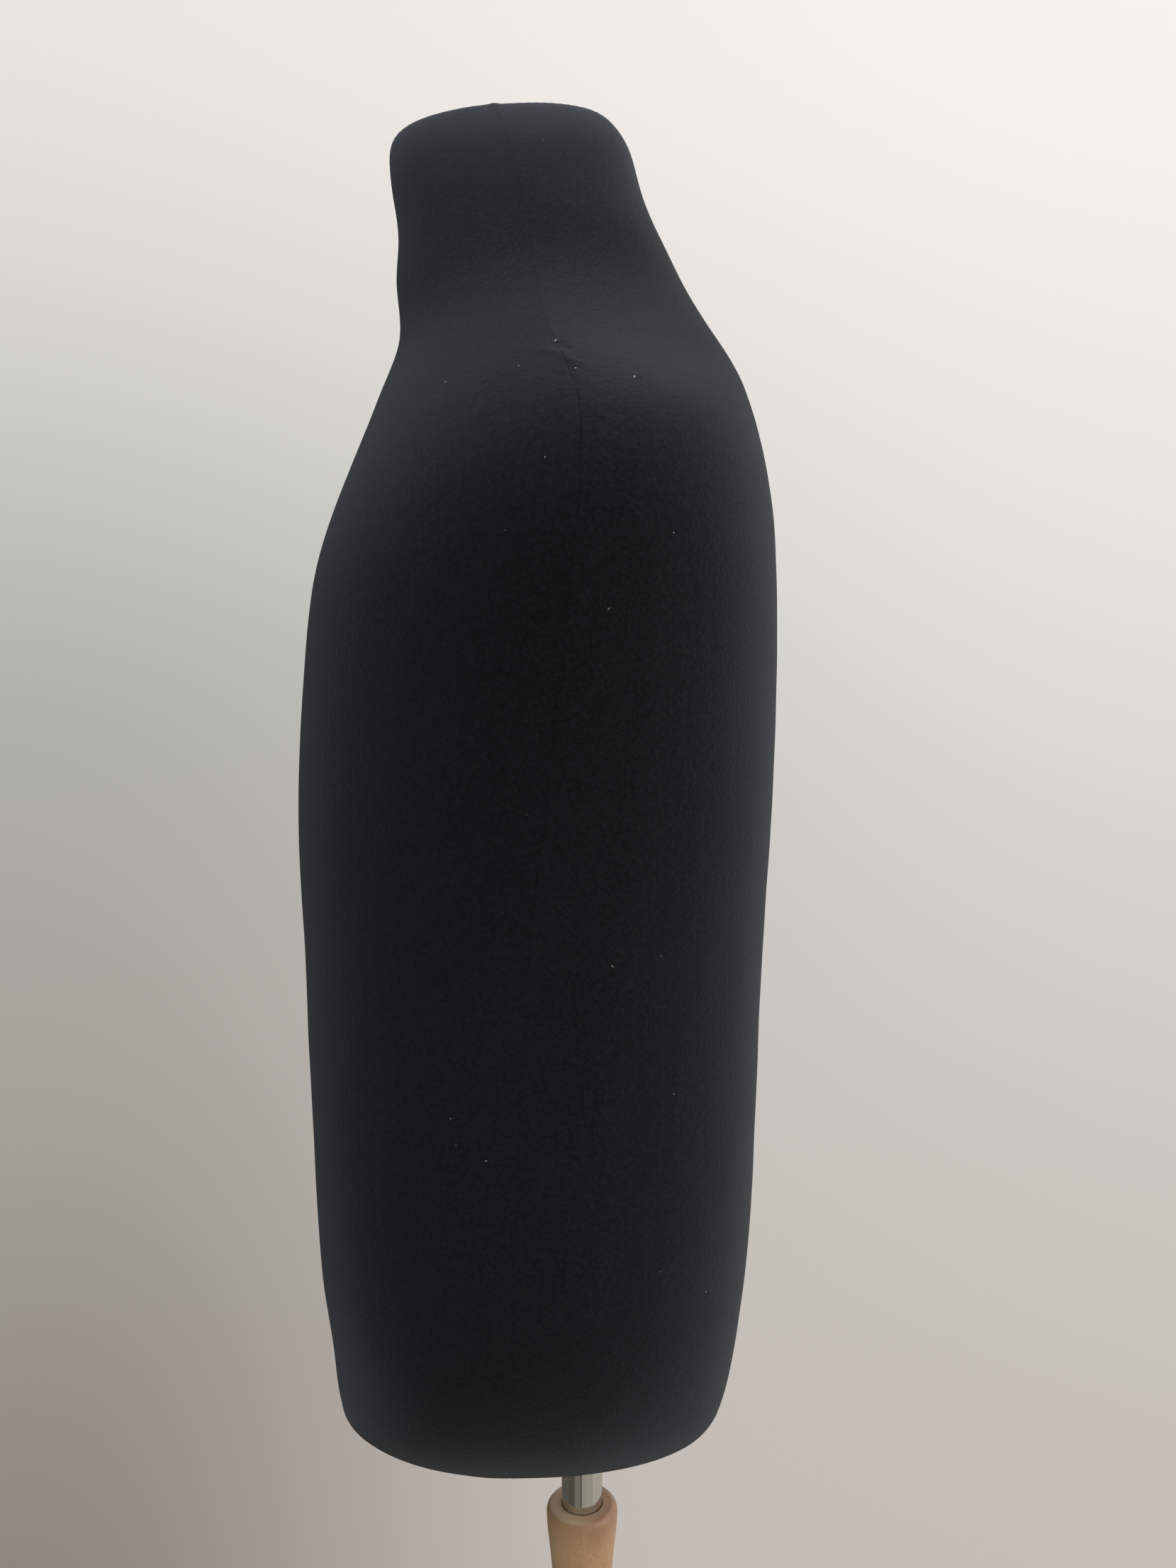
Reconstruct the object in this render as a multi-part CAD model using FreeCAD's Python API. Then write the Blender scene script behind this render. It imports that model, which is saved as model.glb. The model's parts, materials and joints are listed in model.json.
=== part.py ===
import FreeCAD
import Part
import math
import os

from FreeCAD import Vector

os.makedirs("parts", exist_ok=True)

# Dress form mannequin: an armless torso on a tube, in a three-legged wooden stand.
# Millimetres, +Z up, origin on the floor on the pole's axis. The torso faces -Y and its
# left side is towards +X.

# ---- driving dimensions ----

# Torso: what covers what, from the outside in
COVER_THICK = 1.2
SKIN_GAP = 0.1
SHELL_THICK = 4.0
STRIP_THICK = 1.5
STRIP_HALF_WIDTH = 22.0
STRIP_BOTTOM = 745.0
STRIP_TOP = 1376.0

# The neck's top is cut at a slight tilt, which fades out down the neck
NECK_TILT = 0.05
NECK_TILT_FROM = 1340.0
NECK_TILT_RISE = 60.0
NECK_CENTRE_Y = -38.0

# Boards inside the torso
BASE_BOARD_Z = 716.0
BASE_BOARD_THICK = 12.0
NECK_BOARD_Z = 1394.0
NECK_BOARD_THICK = 10.0

# Pole
POLE_R = 12.5
POLE_WALL = 1.5
POLE_BOTTOM_Z = 255.0
POLE_TOP_Z = 815.0
PLUG_CAP = 4.0
PLUG_DEPTH = 22.0

# Pole socket in the torso
SOCKET_BORE_R = POLE_R + 0.05
SOCKET_WALL = 2.0
SOCKET_BOTTOM_Z = 674.0
SOCKET_TOP_Z = 826.0
FLANGE_HALF_X = 34.0
FLANGE_HALF_Y = 30.0
FLANGE_THICK = 3.0
FLANGE_SCREW_X = 25.0
FLANGE_SCREW_Y = 21.0
SCREW_R = 2.0
SCREW_LENGTH = 10.0
SCREW_HEAD_R = 4.0
SCREW_HEAD_THICK = 2.4
SOCKET_HOLE_R = 15.0
COLLAR_R = 24.0
COLLAR_THICK = 1.5

# Stand column
COLUMN_TOP_Z = 620.0
COLUMN_BORE_R = POLE_R + 0.08
COLUMN_BORE_BOTTOM_Z = 190.0
RIM_R = 13.2
TOP_FLAT_R = 17.9
TOP_R = 21.9
TOP_ROUND_DROP = 5.3
TOP_ROUND_POINTS = 7
HUB_R = 35.0
HUB_TOP_Z = 268.0
HUB_BOTTOM_Z = 152.0
HUB_STEP_Z = 286.0
HUB_STEP_R = 28.0
HUB_STEP_RISE = 2.0
BEAD_R = 24.0
BEAD_TOP_Z = 486.0
BEAD_BOTTOM_Z = 466.0
TIP_Z = 110.0

# Legs
LEG_NAMES = {"front": -90.0, "rear_left": 30.0, "rear_right": 150.0}
LEG_THICK = 26.0
LEG_FACE_R = 32.5
LEG_TOP_Z = 258.0
LEG_BOTTOM_Z = 166.0
LEG_REACH = 305.0
LEG_EDGE_R = 5.0
FOOT_R = 283.0
PAD_THICK = 5.0
PAD_R = 12.0

# Leg fixings
BOLT_Z = 236.0
BOLT_R = 4.0
BOLT_TIP_R = 21.0
BOLT_HEAD_R = 7.5
BOLT_HEAD_THICK = 4.0
BOLT_SEAT_R = 56.0
BOLT_HEAD_GAP = 0.5
BOLT_SOCKET_R = 2.8
BOLT_SOCKET_DEPTH = 2.6
INSERT_R = 6.0
INSERT_LENGTH = 12.0
DOWEL_Z = 190.0
DOWEL_R = 5.0
DOWEL_FROM_R = 21.0
DOWEL_TO_R = 52.0
NAIL_R = 1.1
NAIL_HEAD_R = 3.0
NAIL_HEAD_THICK = 1.0
NAIL_LENGTH = 16.0

# Clamp, on the column's back
CLAMP_Z = 530.0
CLAMP_SCREW_R = 4.0
CLAMP_FIT = 0.05
PAD_GAP = 0.3
CLAMP_PAD_THICK = 3.0
SCREW_NOSE_R = 1.8
SCREW_NOSE_LENGTH = 1.5
CLAMP_INSERT_R = 6.0
CLAMP_INSERT_FROM = 17.0
CLAMP_INSERT_TO = 24.8
KNOB_FROM_Y = 30.0
KNOB_THICK = 20.0
KNOB_BODY_R = 15.0
KNOB_LOBES = 6
KNOB_LOBE_R = 5.0
KNOB_LOBE_RING_R = 13.0
KNOB_SKIRT = 6.0
KNOB_RIM_R = 2.5
SCREW_IN_KNOB = 14.0

# Clearance round fixings, how much deeper a blind hole is than what goes in it, and a size
# that is larger than the object
FIXING_GAP = 0.05
HOLE_SPARE = 1.0
FAR = 1000.0

# ---- the torso's form ----

# Stations from the underside to the neck's top. Each is the height, the front-most and
# rear-most Y, the half width, the Y of the side seam, and how full the front and the rear
# quarters are: 2 is an ellipse, more is squarer, less is nearer to a lens.
STATIONS = [
    (676.0, -110.0, 42.0, 26.0, -41.0, 1.6, 2.4),
    (677.5, -131.0, 62.0, 43.0, -41.0, 1.65, 2.4),
    (684.0, -142.0, 75.0, 65.0, -40.5, 1.8, 2.4),
    (698.0, -145.0, 83.5, 87.0, -40.0, 2.05, 2.4),
    (716.0, -145.0, 87.0, 107.5, -39.0, 2.2, 2.4),
    (738.0, -145.5, 90.0, 126.0, -37.5, 2.25, 2.4),
    (768.0, -147.5, 93.5, 142.0, -36.0, 2.2, 2.35),
    (805.0, -151.0, 97.0, 152.0, -34.0, 2.2, 2.3),
    (860.0, -153.0, 99.5, 154.0, -32.0, 2.2, 2.3),
    (935.0, -155.0, 101.5, 149.0, -28.5, 2.2, 2.3),
    (1010.0, -156.5, 104.0, 150.0, -24.0, 2.2, 2.3),
    (1080.0, -156.0, 106.0, 158.0, -15.5, 2.2, 2.4),
    (1140.0, -150.5, 106.0, 169.0, -9.0, 2.2, 2.4),
    (1190.0, -142.0, 104.0, 179.5, -3.5, 2.2, 2.4),
    (1220.0, -132.0, 101.5, 183.0, 0.2, 2.1, 2.3),
    (1250.0, -119.5, 96.5, 175.5, 0.3, 2.0, 2.2),
    (1272.0, -111.5, 92.0, 157.0, -4.5, 1.9, 2.0),
    (1290.0, -105.0, 87.0, 134.0, -12.0, 1.8, 1.8),
    (1308.0, -99.0, 76.5, 110.0, -18.0, 1.8, 1.8),
    (1328.0, -98.5, 62.5, 88.0, -22.0, 1.9, 1.9),
    (1360.0, -98.0, 44.5, 67.5, -26.5, 2.1, 2.1),
    (1388.0, -100.5, 31.3, 57.0, -33.0, 2.1, 2.1),
    (1400.5, -102.0, 28.0, 53.0, -36.5, 2.05, 2.2),
    (1411.0, -102.5, 23.5, 47.5, -40.0, 2.0, 2.3),
    (1419.5, -99.5, 17.0, 40.5, -43.0, 1.95, 2.4),
    (1424.5, -89.0, 8.5, 32.0, -44.5, 1.85, 2.5),
    (1426.0, -73.0, -0.5, 22.0, -45.5, 1.85, 2.5),
]
AROUND = 40


def power(value, exponent):
    """value raised to exponent, keeping its sign."""
    return math.copysign(abs(value) ** exponent, value)


def tilt_at(z):
    """How much the section at height z leans up towards the back."""
    ramp = min(max((z - NECK_TILT_FROM) / NECK_TILT_RISE, 0.0), 1.0)
    return NECK_TILT * ramp * ramp * (3.0 - 2.0 * ramp)


def ring(station):
    """The points round one station, from its left side by way of the back."""
    z, front, back, half_width, seam_y, front_full, back_full = station
    points = []
    for i in range(AROUND):
        angle = 2.0 * math.pi * i / AROUND
        rearward = math.sin(angle) >= 0.0
        fullness = back_full if rearward else front_full
        reach = back - seam_y if rearward else seam_y - front
        x = half_width * power(math.cos(angle), 2.0 / fullness)
        y = seam_y + reach * power(math.sin(angle), 2.0 / fullness)
        points.append(Vector(x, y, z + tilt_at(z) * (y - NECK_CENTRE_Y)))
    return points


def outward(rings, row, column):
    """The surface normal at a point of the form, from its neighbours."""
    last = len(rings) - 1
    if row == 0:
        return Vector(0, 0, -1)
    if row == last:
        return Vector(0, -NECK_TILT, 1).normalize()
    along = rings[row + 1][column] - rings[row - 1][column]
    across = rings[row][(column + 1) % AROUND] - rings[row][column - 1]
    return across.cross(along).normalize()


def form(inset):
    """The torso as one solid, with its skin moved inwards by inset."""
    rings = [ring(station) for station in STATIONS]
    even_steps = [float(i) for i in range(AROUND + 1)]
    wires = []
    for row in range(len(rings)):
        points = [rings[row][i] - outward(rings, row, i) * inset for i in range(AROUND)]
        curve = Part.BSplineCurve()
        curve.interpolate(Points=points, PeriodicFlag=True, Parameters=even_steps)
        wires.append(Part.Wire(curve.toShape()))
    return Part.makeLoft(wires, True, False)


def seam_curve():
    """The side seam, seen along X: smooth through every second station and on past both ends."""
    points = [Vector(0, s[4], s[0]) for s in STATIONS[3:-3:2]]
    points.insert(0, Vector(0, STATIONS[0][4], STATIONS[0][0] - FAR / 10))
    points.append(Vector(0, STATIONS[-1][4], STATIONS[-1][0] + FAR / 10))
    curve = Part.BSplineCurve()
    curve.interpolate(points)
    return curve


def seam_prism(y_far):
    """Everything on one side of the side seam, out to the plane y = y_far."""
    seam = seam_curve()
    low = seam.StartPoint
    high = seam.EndPoint
    corners = [high, Vector(0, y_far, high.z), Vector(0, y_far, low.z), low]
    outline = Part.Wire([seam.toShape()] + Part.makePolygon(corners).Edges)
    face = Part.Face(outline)
    face.translate(Vector(-FAR / 2, 0, 0))
    return face.extrude(Vector(FAR, 0, 0))


def slab(z_low, z_high):
    """A level slice through everything."""
    return Part.makeBox(FAR, FAR, z_high - z_low, Vector(-FAR / 2, -FAR / 2, z_low))


def cylinder(radius, length, start, direction=Vector(0, 0, 1)):
    return Part.makeCylinder(radius, length, start, direction)


def tube(outer, inner, z_low, z_high):
    """A straight tube about the pole's axis."""
    start = Vector(0, 0, z_low)
    return cylinder(outer, z_high - z_low, start).cut(cylinder(inner, z_high - z_low, start))


def save(name, shape):
    shape.exportStep("parts/" + name + ".step")


def build_torso():
    outer = form(0.0)
    shell_outer = form(COVER_THICK + SKIN_GAP)
    shell_inset = COVER_THICK + SKIN_GAP + SHELL_THICK
    shell_inner = form(shell_inset)
    socket_hole = cylinder(SOCKET_HOLE_R, FAR / 10, Vector(0, 0, STATIONS[0][0] - FAR / 20))
    cover = outer.cut(shell_outer).cut(socket_hole)
    shell = shell_outer.cut(shell_inner).cut(socket_hole)
    for name, y_far in (("front", -FAR / 2), ("rear", FAR / 2)):
        half = seam_prism(y_far)
        save(name + "_cover", cover.common(half))
        save(name + "_shell", shell.common(half))
    build_joint_strips(shell_inset)
    build_boards(shell_inset)


def build_joint_strips(shell_inset):
    """The strips bonded inside the shell along both sides of the seam."""
    strip_inset = shell_inset + SKIN_GAP
    lining = form(strip_inset).cut(form(strip_inset + STRIP_THICK))
    forward = seam_prism(FAR / 2)
    forward.translate(Vector(0, -STRIP_HALF_WIDTH, 0))
    backward = seam_prism(-FAR / 2)
    backward.translate(Vector(0, STRIP_HALF_WIDTH, 0))
    strips = lining.common(forward).common(backward).common(slab(STRIP_BOTTOM, STRIP_TOP))
    left_side = Part.makeBox(FAR, FAR, 2 * FAR, Vector(0, -FAR / 2, 0))
    save("joint_strip_left", strips.common(left_side))
    save("joint_strip_right", strips.cut(left_side))


def socket_screw_places():
    for x in (-FLANGE_SCREW_X, FLANGE_SCREW_X):
        for y in (-FLANGE_SCREW_Y, FLANGE_SCREW_Y):
            yield x, y


def build_boards(shell_inset):
    """The plywood boards that close the torso's inside at the base and the neck."""
    inside = form(shell_inset + SKIN_GAP)
    board_top = BASE_BOARD_Z + BASE_BOARD_THICK
    base_board = inside.common(slab(BASE_BOARD_Z, board_top))
    through = cylinder(SOCKET_HOLE_R, BASE_BOARD_THICK, Vector(0, 0, BASE_BOARD_Z))
    base_board = base_board.cut(through)
    for x, y in socket_screw_places():
        pilot = cylinder(SCREW_R + FIXING_GAP, SCREW_LENGTH, Vector(x, y, board_top - SCREW_LENGTH))
        base_board = base_board.cut(pilot)
    save("base_board", base_board)
    save("neck_board", inside.common(slab(NECK_BOARD_Z, NECK_BOARD_Z + NECK_BOARD_THICK)))


def build_socket():
    """The flanged tube that the pole's end sits in, with its screws, end cap and collar."""
    flange_z = BASE_BOARD_Z + BASE_BOARD_THICK
    outer_r = SOCKET_BORE_R + SOCKET_WALL
    flange = Part.makeBox(2 * FLANGE_HALF_X, 2 * FLANGE_HALF_Y, FLANGE_THICK,
                          Vector(-FLANGE_HALF_X, -FLANGE_HALF_Y, flange_z))
    corners = [edge for edge in flange.Edges if abs(edge.Length - FLANGE_THICK) < FIXING_GAP]
    flange = flange.makeFillet(SCREW_HEAD_R, corners)
    height = SOCKET_TOP_Z - SOCKET_BOTTOM_Z
    socket = flange.fuse(cylinder(outer_r, height, Vector(0, 0, SOCKET_BOTTOM_Z)))
    socket = socket.cut(cylinder(SOCKET_BORE_R, height, Vector(0, 0, SOCKET_BOTTOM_Z)))
    screws = []
    for x, y in socket_screw_places():
        start = Vector(x, y, flange_z)
        socket = socket.cut(cylinder(SCREW_R + FIXING_GAP, FLANGE_THICK, start))
        shank_length = SCREW_LENGTH + FLANGE_THICK
        shank = cylinder(SCREW_R, shank_length, start - Vector(0, 0, SCREW_LENGTH))
        head = cylinder(SCREW_HEAD_R, SCREW_HEAD_THICK, start + Vector(0, 0, FLANGE_THICK))
        head = head.makeFillet(SCREW_HEAD_THICK / 2, [head.Edges[0]])
        screws.append(shank.fuse(head).removeSplitter())
    save("pole_socket", socket.removeSplitter())
    save("socket_screws", Part.makeCompound(screws))

    bearing_z = POLE_TOP_Z + PLUG_CAP + PAD_GAP
    spigot = cylinder(SOCKET_BORE_R - FIXING_GAP, SOCKET_TOP_Z - bearing_z, Vector(0, 0, bearing_z))
    lid = cylinder(outer_r, PLUG_CAP, Vector(0, 0, SOCKET_TOP_Z))
    save("socket_cap", spigot.fuse(lid).removeSplitter())

    collar_top = STATIONS[0][0] - SKIN_GAP
    collar = tube(COLLAR_R, outer_r + FIXING_GAP, collar_top - COLLAR_THICK, collar_top)
    save("socket_collar", collar)


def build_pole():
    """The chrome tube and the plugs in its two ends."""
    bore_r = POLE_R - POLE_WALL
    save("pole_tube", tube(POLE_R, bore_r, POLE_BOTTOM_Z, POLE_TOP_Z))
    spigot_r = bore_r - FIXING_GAP
    top = cylinder(POLE_R - FIXING_GAP, PLUG_CAP, Vector(0, 0, POLE_TOP_Z))
    top = top.fuse(cylinder(spigot_r, PLUG_DEPTH, Vector(0, 0, POLE_TOP_Z - PLUG_DEPTH)))
    save("pole_top_plug", top.removeSplitter())
    bottom = cylinder(POLE_R - FIXING_GAP, PLUG_CAP, Vector(0, 0, POLE_BOTTOM_Z - PLUG_CAP))
    bottom = bottom.fuse(cylinder(spigot_r, PLUG_DEPTH, Vector(0, 0, POLE_BOTTOM_Z)))
    save("pole_bottom_plug", bottom.removeSplitter())


def column_outline():
    """The turned outside of the column, from its flat top's rounded edge to its tip, in XZ."""
    edge_z = COLUMN_TOP_Z - TOP_ROUND_DROP
    edge = []
    for i in range(TOP_ROUND_POINTS):
        angle = math.pi / 2 * i / (TOP_ROUND_POINTS - 1)
        edge.append((TOP_FLAT_R + (TOP_R - TOP_FLAT_R) * math.sin(angle),
                     edge_z + TOP_ROUND_DROP * math.cos(angle)))
    taper = [edge[-1], (21.6, 607.0), (20.4, 595.0), (19.1, 582.0), (18.5, 571.0), (19.2, 559.0),
             (22.6, 546.0), (25.0, CLAMP_Z), (24.0, 508.0), (19.5, BEAD_TOP_Z)]
    bead_mid = (BEAD_R, (BEAD_TOP_Z + BEAD_BOTTOM_Z) / 2)
    vase = [(22.0, BEAD_BOTTOM_Z), (20.5, 456.0), (22.5, 425.0), (26.5, 380.0), (28.5, 340.0),
            (27.0, 306.0), (24.5, HUB_STEP_Z + HUB_STEP_RISE)]
    shoulder = [(HUB_STEP_R, HUB_STEP_Z), (31.5, 276.0), (HUB_R, HUB_TOP_Z)]
    drop = [(HUB_R, HUB_BOTTOM_Z), (30.0, 143.0), (24.0, 137.0), (21.0, 126.0), (14.0, 115.0),
            (0.0, TIP_Z)]
    return [
        smooth(edge),
        smooth(taper),
        bend(taper[-1], bead_mid, vase[0]),
        smooth(vase),
        smooth([vase[-1], shoulder[0]]),
        smooth(shoulder),
        smooth([shoulder[-1], drop[0]]),
        smooth(drop),
    ]


def upright(place):
    """An (x, z) place as a point of the XZ plane."""
    return Vector(place[0], 0, place[1])


def bend(start, middle, end):
    """A round edge through three (x, z) places."""
    return Part.Arc(upright(start), upright(middle), upright(end)).toShape()


def smooth(places):
    """A smooth edge through (x, z) places, or a straight one where there are only two."""
    points = [upright(place) for place in places]
    if len(points) == 2:
        return Part.makeLine(points[0], points[1])
    curve = Part.BSplineCurve()
    curve.interpolate(points)
    return curve.toShape()


def turned(direction_degrees, shape):
    """A copy of shape turned about the pole's axis from +X to the given direction."""
    copy = shape.copy()
    copy.rotate(Vector(0, 0, 0), Vector(0, 0, 1), direction_degrees)
    return copy


def radial(radius, from_r, to_r, z):
    """A cylinder that lies along +X at height z."""
    return cylinder(radius, to_r - from_r, Vector(from_r, 0, z), Vector(1, 0, 0))


def build_column():
    """The turned column: bore, leg facets, holes for the fixings and for the clamp."""
    axis = smooth([(0.0, TIP_Z), (0.0, COLUMN_TOP_Z)])
    top = smooth([(0.0, COLUMN_TOP_Z), (TOP_FLAT_R, COLUMN_TOP_Z)])
    face = Part.Face(Part.Wire(column_outline() + [axis, top]))
    column = face.revolve(Vector(0, 0, 0), Vector(0, 0, 1), 360)
    depth = COLUMN_TOP_Z - COLUMN_BORE_BOTTOM_Z
    column = column.cut(cylinder(COLUMN_BORE_R, depth, Vector(0, 0, COLUMN_BORE_BOTTOM_Z)))
    lead = RIM_R - COLUMN_BORE_R
    rim = Part.makeCone(COLUMN_BORE_R, RIM_R, lead, Vector(0, 0, COLUMN_TOP_Z - lead))
    column = column.cut(rim)

    facet = Part.makeBox(HUB_R, 2 * HUB_R, LEG_TOP_Z - LEG_BOTTOM_Z + 2 * FIXING_GAP,
                         Vector(LEG_FACE_R - FIXING_GAP, -HUB_R, LEG_BOTTOM_Z - FIXING_GAP))
    insert_hole = radial(INSERT_R + FIXING_GAP, LEG_FACE_R - INSERT_LENGTH - HOLE_SPARE, HUB_R, BOLT_Z)
    dowel_hole = radial(DOWEL_R + FIXING_GAP, DOWEL_FROM_R - HOLE_SPARE, HUB_R, DOWEL_Z)
    for direction in LEG_NAMES.values():
        for cutter in (facet, insert_hole, dowel_hole):
            column = column.cut(turned(direction, cutter))

    pad_hole = radial(CLAMP_SCREW_R + CLAMP_FIT, 0.0, HUB_R, CLAMP_Z)
    insert_hole = radial(CLAMP_INSERT_R + FIXING_GAP, CLAMP_INSERT_FROM, HUB_R, CLAMP_Z)
    for cutter in (pad_hole, insert_hole):
        column = column.cut(turned(90.0, cutter))
    save("stand_column", column.removeSplitter())


def leg_blank():
    """One curved leg, standing out along +X."""
    toe_top = (LEG_REACH - 9.0, 38.0)
    toe_tip = (LEG_REACH, 22.0)
    toe_end = (LEG_REACH - 6.0, PAD_THICK)
    heel = (FOOT_R - PAD_R - 6.0, PAD_THICK)
    face_top = (LEG_FACE_R, LEG_TOP_Z)
    face_bottom = (LEG_FACE_R, LEG_BOTTOM_Z)
    upper = [face_top, (62.0, 254.0), (104.0, 226.0), (150.0, 168.0), (200.0, 104.0),
             (250.0, 60.0), toe_top]
    lower = [heel, (228.0, 24.0), (184.0, 66.0), (138.0, 120.0), (100.0, 154.0),
             (66.0, 167.0), face_bottom]
    edges = [smooth(upper), bend(toe_top, toe_tip, toe_end), smooth([toe_end, heel]),
             smooth(lower), smooth([face_bottom, face_top])]
    face = Part.Face(Part.Wire(edges))
    face.translate(Vector(0, -LEG_THICK / 2, 0))
    blank = face.extrude(Vector(0, LEG_THICK, 0))
    long_edges = [edge for edge in blank.Edges if edge.Length > 2 * LEG_REACH / 3]
    return blank.makeFillet(LEG_EDGE_R, long_edges)


def leg_bolt():
    """A flat-headed bolt with a hexagonal socket, lying along +X."""
    head_end = BOLT_SEAT_R + BOLT_HEAD_THICK
    bolt = radial(BOLT_R, BOLT_TIP_R, BOLT_SEAT_R, BOLT_Z)
    bolt = bolt.fuse(radial(BOLT_HEAD_R, BOLT_SEAT_R, head_end, BOLT_Z)).removeSplitter()
    corners = []
    for i in range(7):
        angle = math.radians(60 * i)
        across = Vector(0, math.cos(angle), math.sin(angle)) * BOLT_SOCKET_R
        corners.append(Vector(head_end - BOLT_SOCKET_DEPTH, 0, BOLT_Z) + across)
    socket = Part.Face(Part.makePolygon(corners)).extrude(Vector(BOLT_HEAD_THICK, 0, 0))
    return bolt.cut(socket)


def build_legs():
    """The three legs with their bolts, inserts, dowels, foot pads and nails."""
    leg = leg_blank()
    leg = leg.cut(radial(BOLT_R + FIXING_GAP, 0.0, LEG_REACH, BOLT_Z))
    leg = leg.cut(radial(BOLT_HEAD_R + BOLT_HEAD_GAP, BOLT_SEAT_R, LEG_REACH, BOLT_Z))
    leg = leg.cut(radial(DOWEL_R + FIXING_GAP, 0.0, DOWEL_TO_R + HOLE_SPARE, DOWEL_Z))
    nail_start = Vector(FOOT_R, 0, PAD_THICK / 2)
    leg = leg.cut(cylinder(NAIL_R + FIXING_GAP, NAIL_LENGTH + FIXING_GAP, nail_start))

    bolt = leg_bolt()
    insert = radial(INSERT_R, LEG_FACE_R - INSERT_LENGTH, LEG_FACE_R - FIXING_GAP, BOLT_Z)
    insert = insert.cut(radial(BOLT_R + FIXING_GAP, 0.0, HUB_R, BOLT_Z))
    dowel = radial(DOWEL_R, DOWEL_FROM_R, DOWEL_TO_R, DOWEL_Z)

    pad = cylinder(PAD_R, PAD_THICK, Vector(FOOT_R, 0, 0))
    pad = pad.cut(cylinder(NAIL_HEAD_R + FIXING_GAP, PAD_THICK / 2, Vector(FOOT_R, 0, 0)))
    pad = pad.cut(cylinder(NAIL_R + FIXING_GAP, PAD_THICK, Vector(FOOT_R, 0, 0)))
    head_start = Vector(FOOT_R, 0, PAD_THICK / 2 - NAIL_HEAD_THICK)
    nail = cylinder(NAIL_HEAD_R, NAIL_HEAD_THICK, head_start)
    nail = nail.fuse(cylinder(NAIL_R, NAIL_LENGTH, nail_start)).removeSplitter()

    for name, direction in LEG_NAMES.items():
        save("leg_" + name, turned(direction, leg))
        save("foot_pad_" + name, turned(direction, pad))
    for name, piece in (("leg_bolts", bolt), ("leg_inserts", insert), ("leg_dowels", dowel),
                        ("foot_nails", nail)):
        save(name, Part.makeCompound([turned(direction, piece) for direction in LEG_NAMES.values()]))


def build_clamp():
    """The pad that presses on the pole, its screw, the knob and the insert it turns in."""
    insert = radial(CLAMP_INSERT_R, CLAMP_INSERT_FROM + FIXING_GAP, CLAMP_INSERT_TO, CLAMP_Z)
    insert = insert.cut(radial(CLAMP_SCREW_R + CLAMP_FIT, 0.0, HUB_R, CLAMP_Z))
    save("clamp_insert", turned(90.0, insert))

    pad_from = POLE_R + PAD_GAP
    pad_to = pad_from + CLAMP_PAD_THICK
    pad = radial(CLAMP_SCREW_R, pad_from, pad_to, CLAMP_Z)
    recess = radial(SCREW_NOSE_R + CLAMP_FIT, pad_to - SCREW_NOSE_LENGTH - PAD_GAP, pad_to, CLAMP_Z)
    save("clamp_pad", turned(90.0, pad.cut(recess)))

    screw_from = pad_to + CLAMP_FIT
    screw_to = KNOB_FROM_Y + SCREW_IN_KNOB
    screw = radial(CLAMP_SCREW_R, screw_from, screw_to, CLAMP_Z)
    screw = screw.fuse(radial(SCREW_NOSE_R, screw_from - SCREW_NOSE_LENGTH, screw_from, CLAMP_Z))
    save("clamp_screw", turned(90.0, screw.removeSplitter()))
    hole = radial(CLAMP_SCREW_R + CLAMP_FIT / 2, 0.0, screw_to + CLAMP_FIT / 2, CLAMP_Z)
    save("clamp_knob", turned(90.0, knob_blank().cut(hole)))


def knob_blank():
    """A lobed knob that stands out along +X."""
    knob_end = KNOB_FROM_Y + KNOB_THICK
    knob = radial(KNOB_BODY_R, KNOB_FROM_Y, knob_end, CLAMP_Z)
    for i in range(KNOB_LOBES):
        angle = 2.0 * math.pi * i / KNOB_LOBES
        lobe = radial(KNOB_LOBE_R, KNOB_FROM_Y + KNOB_SKIRT, knob_end, CLAMP_Z)
        lobe.translate(Vector(0, math.cos(angle), math.sin(angle)) * KNOB_LOBE_RING_R)
        knob = knob.fuse(lobe)
    knob = knob.removeSplitter()
    rim = [edge for edge in knob.Edges if edge.BoundBox.XMin > knob_end - FIXING_GAP]
    return knob.makeFillet(KNOB_RIM_R, rim)


build_torso()
build_socket()
build_pole()
build_column()
build_legs()
build_clamp()
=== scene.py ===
import json
import math

import bpy
import numpy as np
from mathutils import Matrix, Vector
from mathutils.bvhtree import BVHTree

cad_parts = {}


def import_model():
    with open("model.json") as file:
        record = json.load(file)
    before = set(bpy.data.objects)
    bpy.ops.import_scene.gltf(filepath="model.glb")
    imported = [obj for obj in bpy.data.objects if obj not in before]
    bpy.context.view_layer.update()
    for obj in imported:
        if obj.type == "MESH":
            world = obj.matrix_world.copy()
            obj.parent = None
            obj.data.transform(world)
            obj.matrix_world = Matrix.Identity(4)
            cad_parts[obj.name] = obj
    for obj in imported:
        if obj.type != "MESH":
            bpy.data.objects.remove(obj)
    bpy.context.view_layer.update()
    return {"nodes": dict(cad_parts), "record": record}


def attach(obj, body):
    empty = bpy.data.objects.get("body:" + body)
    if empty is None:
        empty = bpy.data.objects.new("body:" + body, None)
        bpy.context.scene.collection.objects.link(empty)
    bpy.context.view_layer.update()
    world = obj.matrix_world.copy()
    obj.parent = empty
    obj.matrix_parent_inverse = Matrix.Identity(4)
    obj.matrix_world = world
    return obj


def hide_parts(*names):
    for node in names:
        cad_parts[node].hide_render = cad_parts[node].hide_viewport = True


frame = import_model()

# Lengths of the cloth's form are in millimetres as it is laid out, and everything is in metres
# once it is in the scene.
MM = 0.001

# ---- the jersey panels ----

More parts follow.
